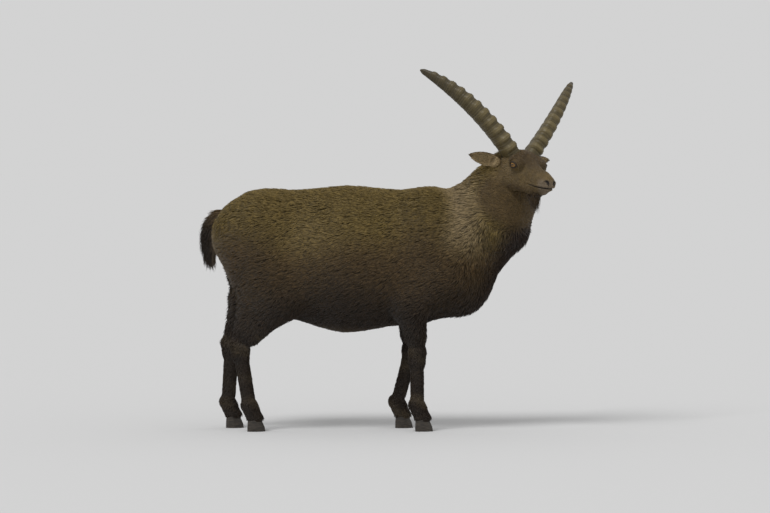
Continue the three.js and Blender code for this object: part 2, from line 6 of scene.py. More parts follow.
import bmesh
import bpy
import numpy as np
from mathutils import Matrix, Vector


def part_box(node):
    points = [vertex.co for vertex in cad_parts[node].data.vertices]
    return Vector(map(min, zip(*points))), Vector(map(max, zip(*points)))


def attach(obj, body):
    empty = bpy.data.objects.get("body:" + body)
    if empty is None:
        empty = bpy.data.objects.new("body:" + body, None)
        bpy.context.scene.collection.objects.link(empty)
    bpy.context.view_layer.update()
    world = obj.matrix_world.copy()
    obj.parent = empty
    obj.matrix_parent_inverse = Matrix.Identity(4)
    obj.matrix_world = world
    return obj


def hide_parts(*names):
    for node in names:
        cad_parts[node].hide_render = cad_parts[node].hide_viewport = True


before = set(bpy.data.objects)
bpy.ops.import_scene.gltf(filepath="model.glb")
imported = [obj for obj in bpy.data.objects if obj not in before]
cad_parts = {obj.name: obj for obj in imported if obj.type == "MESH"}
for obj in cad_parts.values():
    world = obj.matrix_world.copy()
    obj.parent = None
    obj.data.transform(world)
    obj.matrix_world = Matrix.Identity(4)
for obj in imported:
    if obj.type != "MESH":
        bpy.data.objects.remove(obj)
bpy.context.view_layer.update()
random = np.random.default_rng(11)

# Driving dimensions, the same as those of the solids
SHOULDER_HEIGHT = 860.0
BELLY_HEIGHT = 350.0
RUMP_X = -500.0
NECK_X = 330.0
ELBOW_X = 205.0
STIFLE_X = -262.0
RIB_WIDTH = 0.7
HORN_SPREAD = 288.0
HORN_REACH = 342.0
HORN_TURN = 54.0
HORN_RISE = 74.0
HORN_DEPTH = 74.0
HORN_WIDTH = 57.0
HORN_RIDGES = 11
EYE_RADIUS = 17.0
EYE_SPOT = (58.0, 56.0, -48.0)
EAR_LENGTH = 122.0
EAR_WIDTH = 52.0
EAR_ROOT = (-40.0, 56.0, -62.0)
TAIL_SPINE = ((-428.0, 0.0, 768.0), (-522.0, 0.0, 758.0), (-507.0, 0.0, 614.0))
ELBOW_HEIGHT = 452.0
KNEE_HEIGHT = 262.0
STIFLE_HEIGHT = 462.0
HOCK_HEIGHT = 288.0
FETLOCK_HEIGHT = 90.0
HOOF_HEIGHT = 50.0
HEAD_TURN = 60.0
HEAD_DIP = 10.0
HEAD_TILT = -4.0
HORN_SEAT = (597.0, -72.0, 995.0)
STANCE = {
    "fore_right": (226.0, 250.0),
    "fore_left": (204.0, 180.0),
    "hind_right": (-396.0, -342.0),
    "hind_left": (-434.0, -424.0),
}

# The part of the photo that the camera shows, in its pixels: left, top, width and height. The animal is only
# 28 pixels wide there. With (0, 0, 770, 513) the camera takes in the whole photo's frame.
CROP = (279.5, 254.0, 60.0, 40.0)

# Millimetres to a pixel of the photo, and the pixels at which X is 0 and the ground lies
PIXEL = 45.5
PIXEL_X = 307.0
GROUND_PIXEL = 287.5

LEFT, RIGHT = 1.0, -1.0
SIDES = (RIGHT, LEFT)
ACROSS = np.array((0.0, 1.0, 0.0))


def vec(*values):
    return np.array(values, float)


def unit(v):
    return v / np.maximum(np.linalg.norm(v, axis=-1, keepdims=True), 1e-9)


def mix(a, b, t):
    return a + (b - a) * t


def smooth(x, low, high):
    t = np.clip((x - low) / (high - low), 0, 1)
    return t * t * (3 - 2 * t)


def turn(axis, degrees):
    c, s = math.cos(math.radians(degrees)), math.sin(math.radians(degrees))
    return {
        "x": np.array([[1, 0, 0], [0, c, -s], [0, s, c]]),
        "y": np.array([[c, 0, s], [0, 1, 0], [-s, 0, c]]),
        "z": np.array([[c, -s, 0], [s, c, 0], [0, 0, 1]]),
    }[axis]


# The head's own frame: x towards the nose, y to its left, z up, with its origin between the horns
HEAD = turn("z", -HEAD_TURN) @ turn("y", HEAD_DIP) @ turn("x", HEAD_TILT)


def on_head(x, y, z):
    return HEAD @ vec(x, y, z) + vec(*HORN_SEAT)


def headward(x, y, z):
    return unit(HEAD @ vec(x, y, z))


def in_head(points):
    """World points in the head's own frame."""
    return (points - vec(*HORN_SEAT)) @ HEAD


HEAD_ACROSS = headward(0, 1, 0)

# Flesh: the same lobes as in the solids
lobes = []


def lobe(a, ra, b, rb, width, blend, side=ACROSS):
    """Adds a tapered rod from a to b, squeezed to width along side and joined to the rest over blend."""
    lobes.append((a, ra, b, rb, width, blend, side))


def add_trunk():
    middle = (SHOULDER_HEIGHT + BELLY_HEIGHT) / 2
    half = (SHOULDER_HEIGHT - BELLY_HEIGHT) / 2
    back = SHOULDER_HEIGHT - 96
    lobe(vec(-20, 0, middle - 2), half - 8, vec(200, 0, middle - 4), half - 22, RIB_WIDTH, 50)
    lobe(vec(-235, 0, middle + 8), half - 37, vec(-20, 0, middle - 2), half - 8, RIB_WIDTH, 50)
    lobe(vec(-330, 0, back - 2), 88, vec(285, 0, back + 2), 84, 0.95, 50)
    lobe(vec(RUMP_X + 200, 0, 694), 144, vec(RUMP_X + 117, 0, 690), 117, 0.92, 50)
    lobe(vec(300, 0, 568), 150, vec(372, 0, 522), 120, 0.78, 60)
    lobe(vec(410, 0, 590), 106, vec(506, 0, 724), 102, 0.62, 50)


def add_neck():
    base = vec(NECK_X, 0, 657)
    low = vec(NECK_X + 152, 0, 758)
    high = vec(NECK_X + 198, 0, 840)
    top = vec(NECK_X + 226, -8, 908)
    lobe(base, 190, low, 148, 0.72, 50)
    lobe(low, 146, high, 122, 0.74, 40)
    lobe(high, 118, top, 88, 0.82, 30)


def add_cannon(joint, joint_radius, foot, y, radius, blend):
    """The leg from its knee or hock down to the hoof."""
    fetlock = vec(foot - 22, y, FETLOCK_HEIGHT)
    coronet = vec(foot - 3, y, HOOF_HEIGHT - 6)
    lobe(joint, joint_radius, vec(mix(joint[0], fetlock[0], 0.8), y, 125), radius, 0.88, blend)
    lobe(fetlock + vec(-3, 0, 6), 29, fetlock + vec(4, 0, -8), 28, 0.98, 12)
    lobe(fetlock, 26, coronet, 31, 0.95, 12)


def add_fore_quarter(side, joint, foot):
    blade = vec(262, side * 60, 775)
    point = vec(342, side * 88, 560)
    elbow = vec(ELBOW_X, side * 100, ELBOW_HEIGHT)
    knee = vec(joint, side * 84, KNEE_HEIGHT)
    lobe(blade, 66, point, 80, 0.75, 80)
    lobe(point, 76, elbow, 58, 0.75, 50)
    lobe(elbow + vec(-14, 0, 14), 50, vec(mix(elbow[0], knee[0], 0.55), side * 92, 345), 38, 0.85, 30)
    lobe(elbow + vec(18, 0, -8), 48, knee + vec(0, 0, 22), 29, 0.9, 24)
    lobe(knee + vec(3, 0, 18), 31, knee + vec(2, 0, -14), 29, 0.95, 14)
    add_cannon(knee, 26, foot, side * 80, 24.5, 14)


def add_hind_quarter(side, joint, foot):
    stifle = vec(STIFLE_X, side * 98, STIFLE_HEIGHT)
    hock = vec(joint, side * 86, HOCK_HEIGHT)
    lobe(vec(RUMP_X + 152, side * 72, 690), 124, stifle + vec(-4, 0, 14), 82, 0.74, 80)
    lobe(vec(RUMP_X + 110, side * 62, 675), 72, vec(joint + 58, side * 84, 470), 58, 0.75, 45)
    lobe(stifle + vec(-4, 0, -6), 74, vec(mix(stifle[0], hock[0], 0.7), side * 90, 345), 42, 0.78, 40)
    lobe(vec(joint + 40, side * 84, 460), 52, hock + vec(4, 0, 12), 27, 0.75, 24)
    lobe(vec(joint + 24, side * 85, 420), 28, hock + vec(-18, 0, 22), 16, 0.8, 24)
    lobe(hock + vec(-19, 0, 18), 17, hock + vec(-10, 0, -12), 23, 0.9, 20)
    lobe(hock + vec(4, 0, 4), 31, hock + vec(2, 0, -18), 28, 0.85, 16)
    add_cannon(hock + vec(0, 0, -8), 27, foot, side * 84, 25, 16)


def add_head():
    def part(ax, ay, az, ra, bx, by, bz, rb, width, blend):
        lobe(on_head(ax, ay, az), ra, on_head(bx, by, bz), rb, width, blend, HEAD_ACROSS)

    part(-34, 0, -66, 54, 28, 0, -60, 55, 1.0, 24)
    part(50, 0, -66, 47, 160, 0, -84, 31, 0.86, 24)
    part(160, 0, -84, 34, 190, 0, -87, 31, 0.98, 18)
    part(112, 0, -118, 22, 174, 0, -113, 19, 0.98, 16)
    for side in SIDES:
        part(-12, side * 28, -38, 34, 8, side * 26, -36, 32, 1, 20)
        part(42, side * 46, -40, 23, 70, side * 43, -43, 17, 1, 14)
        part(10, side * 38, -92, 38, 62, side * 30, -98, 28, 0.8, 20)
        part(-8, side * 36, -112, 32, 118, side * 15, -118, 19, 0.9, 18)


add_trunk()
add_neck()
for name, (joint, foot) in STANCE.items():
    side = LEFT if name.endswith("left") else RIGHT
    (add_fore_quarter if name.startswith("fore") else add_hind_quarter)(side, joint, foot)
add_head()


def joined(a, b, blend):
    """The smaller of two distances, rounded over blend where they meet."""
    h = np.maximum(blend - np.abs(a - b), 0) / blend
    return np.minimum(a, b) - h * h * blend / 4


def lobe_distance(one, p):
    a, ra, b, rb, width, _, side = one
    squeeze = 1 / width - 1
    q = p - a
    q = q + (q @ side)[:, None] * side * squeeze
    axis = b - a
    axis = axis + (axis @ side) * side * squeeze
    t = np.clip(q @ axis / (axis @ axis), 0, 1)
    q = q - t[:, None] * axis
    reach = np.linalg.norm(q, axis=1)
    lean = (q @ side) / np.maximum(reach, 1e-6)
    return (reach - (ra + (rb - ra) * t)) / np.sqrt(1 - lean**2 + (lean / width) ** 2)


def flesh(p):
    """The distance to the animal's outline, below 0 inside it."""
    d = np.full(len(p), np.inf)
    for one in lobes:
        blend = one[5]
        d = joined(d, lobe_distance(one, p), blend)
    return d


def eye_centre(side):
    return on_head(EYE_SPOT[0], side * EYE_SPOT[1], EYE_SPOT[2])


def from_eyes(p):
    """How far each point is from the middle of the nearer eye."""
    return np.min([np.linalg.norm(p - eye_centre(side), axis=1) for side in SIDES], 0)


def eye_axes(side):
    """Along the lids, up across them and out of the eye."""
    look = headward(0.28, side * 0.96, -0.06)
    level = unit(np.cross(look, headward(0.15, 0, 1)))
    return level, np.cross(level, look), look


def headness(p):
    """1 on the head and 0 on the rest of the body."""
    q = in_head(p)
    near = 1 - smooth(np.linalg.norm(q - vec(70, 0, -80), axis=1), 170, 215)
    return smooth(q[:, 0], -62, -12) * near


def coat_depth(p):
    """How far the skin lies inside the outline, which is that of the coat."""
    legs = 1 - smooth(p[:, 2], 250, 430)
    depth = mix(12.0, 3.5, legs)
    return mix(depth, 2.2, headness(p))


# The face: sockets, nostrils, lips and the line of the mouth, laid on the flesh of the head
MOUTH = np.array([(98, -104), (130, -104.5), (165, -104), (198, -102.5), (236, -98)], float)
LID_BLEND = 14.0
SOCKET_RADIUS = 14.0
NOSTRIL_SIZE = (10.5, 9.0, 2.9)
NOSTRIL_RIM = (13.0, 12.0, 5.5)
WING_SIZE = (12.0, 5.0, 5.5)


def above_mouth(q):
    """How far head points are above the line of the mouth."""
    return q[:, 2] - np.interp(q[:, 0], MOUTH[:, 0], MOUTH[:, 1])


def in_nostril(q, side):
    """Head points as distances along a nostril's slit, into the nose and up across the slit."""
    long = unit(vec(-0.45, side * 0.62, 0.62))
    short = side * unit(np.cross(long, vec(-0.8, -side * 0.6, 0)))
    inwards = side * unit(np.cross(short, long))
    n = (q - vec(216, side * 14, -79)) @ np.stack([long, inwards, short], 1)
    n[:, 2] += 0.03 * n[:, 0] ** 2
    return n


def face(p):
    """The distance to the skin, with sockets, nostrils and mouth."""
    d = flesh(p) + coat_depth(p)
    q = in_head(p)
    near = np.flatnonzero((np.abs(q) < vec(260, 110, 180)).all(1) & (q[:, 0] > -40))
    if len(near) == 0:
        return d
    q, e = q[near], d[near]
    for side in SIDES:
        r = (p[near] - eye_centre(side)) @ np.stack(eye_axes(side), 1)
        e = joined(e, np.linalg.norm(r, axis=1) - (EYE_RADIUS + 0.6), LID_BLEND)
        e = np.maximum(e, np.minimum(SOCKET_RADIUS - np.hypot(r[:, 0], r[:, 1]), r[:, 2] - 2))
        n = in_nostril(q, side)
        wing = (np.linalg.norm((n - vec(1, 1, -5)) / vec(*WING_SIZE), axis=1) - 1) * 5
        hole = (np.linalg.norm(n / vec(*NOSTRIL_SIZE), axis=1) - 1) * 3
        e = joined(e, wing, 6)
        e = -joined(-e, hole, 2)
    height = above_mouth(q)
    lip = smooth(q[:, 0], 92, 120) * (q[:, 2] < -60)
    e = e + lip * 3.6 * np.exp(-((height / 1.7) ** 2))
    e = e - lip * 1.6 * np.exp(-(((height - 6) / 4) ** 2))
    e = e - lip * 1.2 * np.exp(-(((height + 6) / 4) ** 2))
    cleft = np.exp(-((q[:, 1] / 1.5) ** 2)) * smooth(q[:, 0], 205, 214) * smooth(q[:, 2], -104, -96)
    e = e + 2.0 * cleft * (1 - smooth(q[:, 2], -84, -76))
    d[near] = e
    return d


def slope(distance, p, step=0.6):
    """The distance at each point, and how fast it grows along x, y and z."""
    d = distance(p)
    parts = [distance(p + step * np.eye(3)[k]) - d for k in range(3)]
    g = np.stack(parts, 1) / step
    return d, g


def settle(distance, p, rounds, limit=6.0):
    """Points moved onto the surface where distance is 0."""
    for _ in range(rounds):
        d, g = slope(distance, p)
        size = np.maximum((g * g).sum(1), 0.2)
        p = p - np.clip(d / size, -limit, limit)[:, None] * g
    return p


def surface_of(distance, low, high, cell):
    """A closed mesh of quads where distance is 0, with a vertex in each cell that it crosses."""
    count = np.ceil((high - low) / cell).astype(int) + 1
    axes = [low[k] + np.arange(count[k]) * cell for k in range(3)]
    grid = np.stack(np.meshgrid(*axes, indexing="ij"), -1)
    values = distance(grid.reshape(-1, 3)).reshape(count)
    total = np.zeros((*(count - 1), 3))
    number = np.zeros(count - 1)
    cut = lambda i, j, k: (slice(i, count[0] - 1 + i), slice(j, count[1] - 1 + j), slice(k, count[2] - 1 + k))
    corners = [(i, j, k) for i in (0, 1) for j in (0, 1) for k in (0, 1)]
    for m in corners:
        for n in corners:
            if sum(n) - sum(m) != 1 or any(y < x for x, y in zip(m, n)):
                continue
            vm, vn = values[cut(*m)], values[cut(*n)]
            crossed = (vm < 0) != (vn < 0)
            t = np.where(crossed, vm / np.where(crossed, vm - vn, 1), 0)[..., None]
            total += crossed[..., None] * (grid[cut(*m)] * (1 - t) + grid[cut(*n)] * t)
            number += crossed
    used = number > 0
    ids = np.full(used.shape, -1)
    ids[used] = np.arange(used.sum())
    points = total[used] / number[used][:, None]
    faces = []
    inside = values < 0
    for axis in range(3):
        u, v = (axis + 1) % 3, (axis + 2) % 3
        here = [slice(0, n) for n in count]
        there = list(here)
        here[axis], there[axis] = slice(0, -1), slice(1, None)
        first, second = inside[tuple(here)], inside[tuple(there)]
        spot = np.argwhere(first != second)
        leaves = first[tuple(spot.T)]
        ring = []
        for du, dv in ((0, 0), (1, 0), (1, 1), (0, 1)):
            cell_at = spot.copy()
            cell_at[:, u] -= du
            cell_at[:, v] -= dv
            ring.append(ids[tuple(cell_at.T)])
        quads = np.stack(ring, 1)
        quads[~leaves] = quads[~leaves][:, ::-1]
        faces.append(quads)
    return points, np.concatenate(faces)


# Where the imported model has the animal: its frame's place comes from the right eye, which is a whole ball
low_corner, high_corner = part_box("eye_right")
PLACE = np.array((low_corner + high_corner) / 2) - eye_centre(RIGHT) / 1000


def placed(points):
    return points / 1000 + PLACE


def outward(points, groups):
    """The faces of a closed surface, turned round if they look inwards."""
    volume = 0.0
    for g in groups:
        for k in range(1, g.shape[1] - 1):
            a, b, c = (points[g[:, n]] - points[0] for n in (0, k, k + 1))
            volume += (a * np.cross(b, c)).sum()
    return groups if volume > 0 else [g[:, ::-1] for g in groups]


def ring_quads(rings, around, is_loop=False):
    """The quads between rings of points, and in a loop also between the last ring and the first."""
    i, j = np.meshgrid(np.arange(rings if is_loop else rings - 1), np.arange(around), indexing="ij")
    a, b = i * around + j, i * around + (j + 1) % around
    return np.stack([a, b, b + around, a + around], -1).reshape(-1, 4) % (rings * around)


def closed_tube(points, tone):
    """Rings of points with one more in the middle of each end: all points, faces and tones."""
    rings, around = points.shape[:2]
    middles = rings * around
    j = np.arange(around)
    last = (rings - 1) * around
    foot = np.stack([(j + 1) % around, j, np.full(around, middles)], -1)
    tip = np.stack([last + j, last + (j + 1) % around, np.full(around, middles + 1)], -1)
    points = np.concatenate([points.reshape(-1, 3), points[0].mean(0)[None], points[-1].mean(0)[None]])
    tone = np.concatenate([tone.reshape(-1, 3), tone[0, :1], tone[-1, :1]])
    return points, [ring_quads(rings, around), foot, tip], tone


def mesh_object(name, points, faces, material, colour):
    """A mesh from points in millimetres and faces, all with as many corners or as a list of such."""
    mesh = bpy.data.meshes.new(name)
    points = placed(np.asarray(points, float))
    groups = outward(points, faces if isinstance(faces, list) else [faces])
    loops = np.concatenate([g.ravel() for g in groups])
    sizes = np.concatenate([np.full(len(g), g.shape[1]) for g in groups])
    mesh.vertices.add(len(points))
    mesh.vertices.foreach_set("co", points.astype(np.float32).ravel())
    mesh.loops.add(len(loops))
    mesh.loops.foreach_set("vertex_index", loops.astype(np.int32))
    mesh.polygons.add(len(sizes))
    starts = np.concatenate([[0], np.cumsum(sizes)[:-1]])
    mesh.polygons.foreach_set("loop_start", starts.astype(np.int32))
    mesh.update(calc_edges=True)
    mesh.validate()
    mesh.polygons.foreach_set("use_smooth", np.full(len(mesh.polygons), True))
    paint(mesh, colour)
    mesh.materials.append(material)
    obj = bpy.data.objects.new(name, mesh)
    bpy.context.scene.collection.objects.link(obj)
    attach(obj, "root")
    return obj


def paint(mesh, colour):
    layer = mesh.color_attributes.new("Tone", "FLOAT_COLOR", "POINT")
    rgba = np.ones((len(colour), 4), np.float32)
    rgba[:, :3] = colour
    layer.data.foreach_set("color", rgba.ravel())


# Materials
def principled(name, roughness, specular, sheen=0.0, coat=0.0):
    material = bpy.data.materials.new(name)
    material.use_nodes = True
    nodes, links = material.node_tree.nodes, material.node_tree.links
    shader = nodes["Principled BSDF"]
    shader.inputs["Roughness"].default_value = roughness
    shader.inputs["Specular IOR Level"].default_value = specular
    shader.inputs["Sheen Weight"].default_value = sheen
    shader.inputs["Sheen Roughness"].default_value = 0.5
    shader.inputs["Coat Weight"].default_value = coat
    shader.inputs["Coat Roughness"].default_value = 0.04
    return material, nodes, links, shader


def noise(nodes, links, scale, detail=4.0, stretch=(1, 1, 1)):
    where = nodes.new("ShaderNodeTexCoord")
    mapping = nodes.new("ShaderNodeMapping")
    mapping.inputs["Scale"].default_value = stretch
    texture = nodes.new("ShaderNodeTexNoise")
    texture.inputs["Scale"].default_value = scale
    texture.inputs["Detail"].default_value = detail
    links.new(where.outputs["Object"], mapping.inputs["Vector"])
    links.new(mapping.outputs["Vector"], texture.inputs["Vector"])
    return texture.outputs["Fac"]


def shaded(nodes, links, base, factor, low, high):
    """base times a grey that runs from low to high with factor."""
    ramp = nodes.new("ShaderNodeMapRange")
    ramp.inputs["To Min"].default_value = low
    ramp.inputs["To Max"].default_value = high
    links.new(factor, ramp.inputs["Value"])
    product = nodes.new("ShaderNodeVectorMath")
    product.operation = "SCALE"
    links.new(base, product.inputs[0])
    links.new(ramp.outputs["Result"], product.inputs["Scale"])
    return product.outputs["Vector"]


def bump(nodes, links, shader, height, strength, distance):
    node = nodes.new("ShaderNodeBump")
    node.inputs["Strength"].default_value = strength
    node.inputs["Distance"].default_value = distance
    links.new(height, node.inputs["Height"])
    links.new(node.outputs["Normal"], shader.inputs["Normal"])


def toned(name, roughness, scale, low, high, relief, **finish):
    """A material with the mesh's own tones, mottled by noise, with a fine relief."""
    material, nodes, links, shader = principled(name, roughness, **finish)
    tone = nodes.new("ShaderNodeAttribute")
    tone.attribute_name = "Tone"
    grain = noise(nodes, links, scale)
    links.new(shaded(nodes, links, tone.outputs["Color"], grain, low, high), shader.inputs["Base Color"])
    if relief:
        bump(nodes, links, shader, grain, 0.5, relief)
    return material


hair = toned("coat_hair", 0.62, 60.0, 0.72, 1.28, 0, specular=0.28, sheen=0.06)
hide = toned("skin_under_coat", 0.75, 350.0, 0.7, 1.25, 0.0006, specular=0.25)
horn_look = toned("ridged_horn", 0.5, 110.0, 0.6, 1.35, 0.0012, specular=0.4)
eye_look = toned("wet_eye", 0.12, 900.0, 0.85, 1.15, 0, specular=0.35, coat=0.2)


def hoof_material():
    material, nodes, links, shader = principled("worn_hoof", 0.5, specular=0.4)
    grain = noise(nodes, links, 130.0, 6.0, (0.4, 0.4, 3.0))
    ramp = nodes.new("ShaderNodeValToRGB")
    ramp.color_ramp.elements[0].position = 0.3
    ramp.color_ramp.elements[0].color = (0.012, 0.010, 0.008, 1)
    ramp.color_ramp.elements[1].position = 0.75
    ramp.color_ramp.elements[1].color = (0.060, 0.048, 0.036, 1)
    links.new(grain, ramp.inputs["Fac"])
    links.new(ramp.outputs["Color"], shader.inputs["Base Color"])
    bump(nodes, links, shader, grain, 0.5, 0.0012)
    return material


# Colours of the coat, as linear red, green and blue
OLIVE = vec(0.140, 0.096, 0.025)
BROWN = vec(0.082, 0.049, 0.016)
DARK = vec(0.021, 0.012, 0.0055)
# a painted highlight: the lighter tone where the sun falls on the flank
FLANK_PAINTED_HIGHLIGHT = vec(0.180, 0.127, 0.042)
# painted shade: near black on the front of the neck, where the head shades it
THROAT_PAINTED_SHADE = vec(0.020, 0.010, 0.005)
PALE = vec(0.255, 0.190, 0.100)
RUMP = vec(0.330, 0.255, 0.175)
FACE = vec(0.142, 0.096, 0.036)
BRIDGE = vec(0.070, 0.044, 0.018)
LIP = vec(0.200, 0.155, 0.110)
BARE = vec(0.018, 0.014, 0.012)


def wave(p, size, seed):
    """A slow, seeded ripple from -1 to 1 through space."""
    source = np.random.default_rng(seed)
    total = np.zeros(len(p))
    pace = 2 * math.pi / size
    for _ in range(5):
        direction = unit(source.normal(size=3))
        total += np.sin(p @ direction * pace * source.uniform(0.6, 1.6) + source.uniform(0, 6.3))
    return total / 3.2


def blob(p, centre, size):
    return np.exp(-(((p - vec(*centre)) / vec(*size)) ** 2).sum(1))


def face_colour(p):
    q = in_head(p)
    top = smooth(q[:, 2], -62, -36) * smooth(q[:, 0], 20, 60)
    tone = mix(FACE, BRIDGE, (0.8 * top * (1 - smooth(q[:, 0], 175, 200)))[:, None])
    brow = smooth(q[:, 2], -40, -12) * (1 - smooth(q[:, 0], 50, 90))
    tone = mix(tone, BROWN * 0.9, (0.8 * brow)[:, None])
    jaw = 1 - smooth(q[:, 2], -128, -100)
    tone = mix(tone, BROWN, (0.6 * jaw)[:, None])
    round_eyes = 0.45 * blob(q, (44, 0, -62), (34, 90, 16)) * smooth(from_eyes(p), 20, 30)
    tone = mix(tone, PALE, round_eyes[:, None])
    muzzle = smooth(q[:, 0], 168, 196)
    return mix(tone, LIP, (0.75 * muzzle * (1 - smooth(q[:, 2], -84, -66)))[:, None])


def coat_colour(p):
    z = p[:, 2] + 22 * wave(p, 260, 3)
    x = p[:, 0] + 18 * wave(p, 200, 4)
    # Lighter on the back and darkest on the belly: partly the coat's own colour, partly painted light from
    # above and painted shade under the body
    tone = mix(BROWN, OLIVE, smooth(z, 600, 760)[:, None])
    tone = mix(DARK, tone, smooth(z, 400, 640)[:, None])
    # A painted highlight on the flank, where the sun falls
    tone = mix(tone, FLANK_PAINTED_HIGHLIGHT, 0.75 * blob(p, (-140, 0, 690), (130, 400, 75))[:, None])
    tone = mix(tone, BROWN * 0.8, 0.6 * blob(p, (270, 0, 640), (110, 400, 130))[:, None])
    tone = mix(tone, BROWN * 0.65, 0.7 * blob(p, (-330, 0, 560), (80, 400, 130))[:, None])
    # Painted shade: the front of the neck under the head turns near black
    front = smooth((x - 470) - 0.5 * (z - 560), -60, 60)
    tone = mix(tone, THROAT_PAINTED_SHADE, (front * (1 - smooth(z, 800, 900)) * smooth(x, 380, 470))[:, None])
    patch = smooth(x, 300, 375) * (1 - smooth(x, 395, 505)) * smooth(z, 610, 740) * (1 - smooth(z, 850, 960))
    tone = mix(tone, PALE, 0.85 * patch[:, None])
    behind = smooth(-x, 400, 450) * (1 - smooth(np.abs(p[:, 1]), 40, 95)) * smooth(z, 470, 560)
    behind = behind * (1 - smooth(z, 700, 760))
    tone = mix(tone, RUMP, 0.8 * behind[:, None])
    under = (1 - smooth(z, 355, 400)) * smooth(z, 300, 340) * (np.abs(x + 90) < 260) * (np.abs(p[:, 1]) < 80)
    tone = mix(tone, BROWN * 1.3, 0.5 * under[:, None])
    legs = 1 - smooth(z, 240, 420)
    tone = mix(tone, DARK * 0.95, legs[:, None])
    back_of_leg = legs * smooth(wave(p, 90, 8), -0.2, 1.0) * 0.25
    tone = mix(tone, PALE * 0.6, back_of_leg[:, None])
    return mix(tone, face_colour(p), headness(p)[:, None])


def bareness(p):
    """1 where the skin shows: the rims of the nostrils and the line of the mouth."""
    q = in_head(p)
    bare = np.zeros(len(p))
    for side in SIDES:
        reach = np.linalg.norm(in_nostril(q, side) / vec(*NOSTRIL_RIM), axis=1)
        bare = np.maximum(bare, 1 - smooth(reach, 0.8, 1.1))
    bare = np.maximum(bare, smooth(q[:, 0], 110, 125) * (1 - smooth(np.abs(above_mouth(q)), 1.5, 3.5)))
    return bare * (q[:, 0] > 30)


# The skin: one closed surface over the whole body, finer on the legs and finest on the face
SKIN_CELL = 9.0


def make_skin():
    low, high = vec(-540, -280, 10), vec(740, 220, 1030)
    points, quads = surface_of(lambda p: flesh(p) + coat_depth(p), low, high, SKIN_CELL)
    mesh = bpy.data.meshes.new("base")
    mesh.from_pydata(points.tolist(), [], quads.tolist())
    bm = bmesh.new()
    bm.from_mesh(mesh)
    nose = on_head(205, 0, -88)

    def finer(test):
        bm.verts.index_update()
        co = np.array([v.co[:] for v in bm.verts])
        marked = test(co)
        edges = [e for e in bm.edges if marked[e.verts[0].index] and marked[e.verts[1].index]]
        bmesh.ops.subdivide_edges(bm, edges=edges, cuts=1, use_grid_fill=True)

    finer(lambda p: (p[:, 2] < 330) | (headness(p) > 0.02))
    finer(lambda p: in_head(p)[:, 0] > 0)
    finer(lambda p: ((from_eyes(p) < 34) | (np.linalg.norm(p - nose, axis=1) < 48)) & (headness(p) > 0.5))
    bmesh.ops.triangulate(bm, faces=bm.faces[:])
    bm.to_mesh(mesh)
    bm.free()
    points = np.zeros(len(mesh.vertices) * 3)
    mesh.vertices.foreach_get("co", points)
    points = points.reshape(-1, 3)
    triangles = np.zeros(len(mesh.loops), np.int32)
    mesh.loops.foreach_get("vertex_index", triangles)
    triangles = triangles.reshape(-1, 3)
    bpy.data.meshes.remove(mesh)
    points = settle(face, points, 4, 4.0)
    tone = coat_colour(points) * 0.75
    bare = bareness(points)
    tone = mix(tone, BARE, bare[:, None])
    return mesh_object("skin", points, triangles, hide, tone), points, triangles


skin, skin_points, skin_triangles = make_skin()
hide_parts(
    "torso", "neck", "head", *[f"{leg}_{part}_leg" for leg in STANCE for part in ("upper", "lower")]
)


# Horns: the solids' curve and section, with rounded knobs in front, growth rings and a smooth tip
HORN_SQUARE = 2.8


def horn_frame(s, side):
    """The horn's middle at each share s of its length, and the ways along it, to its front and across it."""
    radius = HORN_REACH / (2 * math.sin(math.radians(HORN_TURN / 2)))
    start = math.radians(HORN_RISE)
    angle = np.radians(HORN_RISE - HORN_TURN * s)
    back = radius * (math.sin(start) - np.sin(angle))
    up = radius * (np.cos(angle) - math.cos(start))
    local = np.stack([-4 - back, side * (32 + HORN_SPREAD * s), -30 + up], -1)
    centre = local @ HEAD.T + vec(*HORN_SEAT)
    along = unit(np.gradient(centre, axis=0))
    front = np.stack([np.sin(angle), 0 * angle, np.cos(angle)], -1) @ HEAD.T
    across = unit(np.cross(along, front))
    return centre, along, np.cross(across, along), across


def make_horn(side, name):
    rings, around = ((420, 36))
    s = np.linspace(-0.06, 1.0, rings)
    centre, _, front, across = horn_frame(s, side)
    pitch = 0.88 / HORN_RIDGES
    place = (s - 0.05) / pitch
    number = np.clip(np.floor(place), 0, HORN_RIDGES - 1)
    t = place - number
    height = mix(9.0, 4.0, number / (HORN_RIDGES - 1)) * ((place >= 0) & (place < HORN_RIDGES))
    ridge = height * smooth(t, 0.0, 0.32) * (1 - smooth(t, 0.5, 0.82))
    growth = 0.45 * np.sin(s * 420 + 2 * np.sin(s * 37)) + 0.35 * np.sin(s * 173 + side)
    taper = (1 - 0.28 * s - 0.52 * s**4) * np.sqrt(np.clip((1.004 - s) / 0.03, 0, 1))
    theta = (np.arange(around) + 0.5) / around * 2 * math.pi
    c, k = np.cos(theta), np.sin(theta)
    square = (np.abs(c) ** HORN_SQUARE + np.abs(k) ** HORN_SQUARE) ** (-1 / HORN_SQUARE)
    body, knob = taper[:, None], ridge[:, None]
    ripple = growth[:, None] * body
    wear = 0.5 * np.sin(7 * theta + 3) * np.sin(s * 60)[:, None] * body
    depth = HORN_DEPTH / 2 * body * square * c + knob * np.sqrt(np.maximum(0, c)) + (ripple + wear) * c
    width = HORN_WIDTH / 2 * body * square * k * (0.86 + 0.14 * c) + (0.22 * knob + ripple) * k
    points = centre[:, None] + depth[..., None] * front[:, None] + width[..., None] * across[:, None]
    dust = 0.5 + 0.5 * np.sin(s * 300)
    crest = (ridge / np.maximum(height, 1e-6))[:, None] * np.maximum(0, c)
    base = mix(vec(0.118, 0.090, 0.036), vec(0.048, 0.036, 0.015), (smooth(s, 0.25, 1.0) * 0.75)[:, None])
    tone = base[:, None] * (0.55 + 0.55 * crest + 0.22 * dust[:, None] * (1 - crest))[..., None]
    points, faces, tone = closed_tube(points, tone)
    horn = mesh_object(name + "_grown", points, faces, horn_look, tone)
    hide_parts(name)


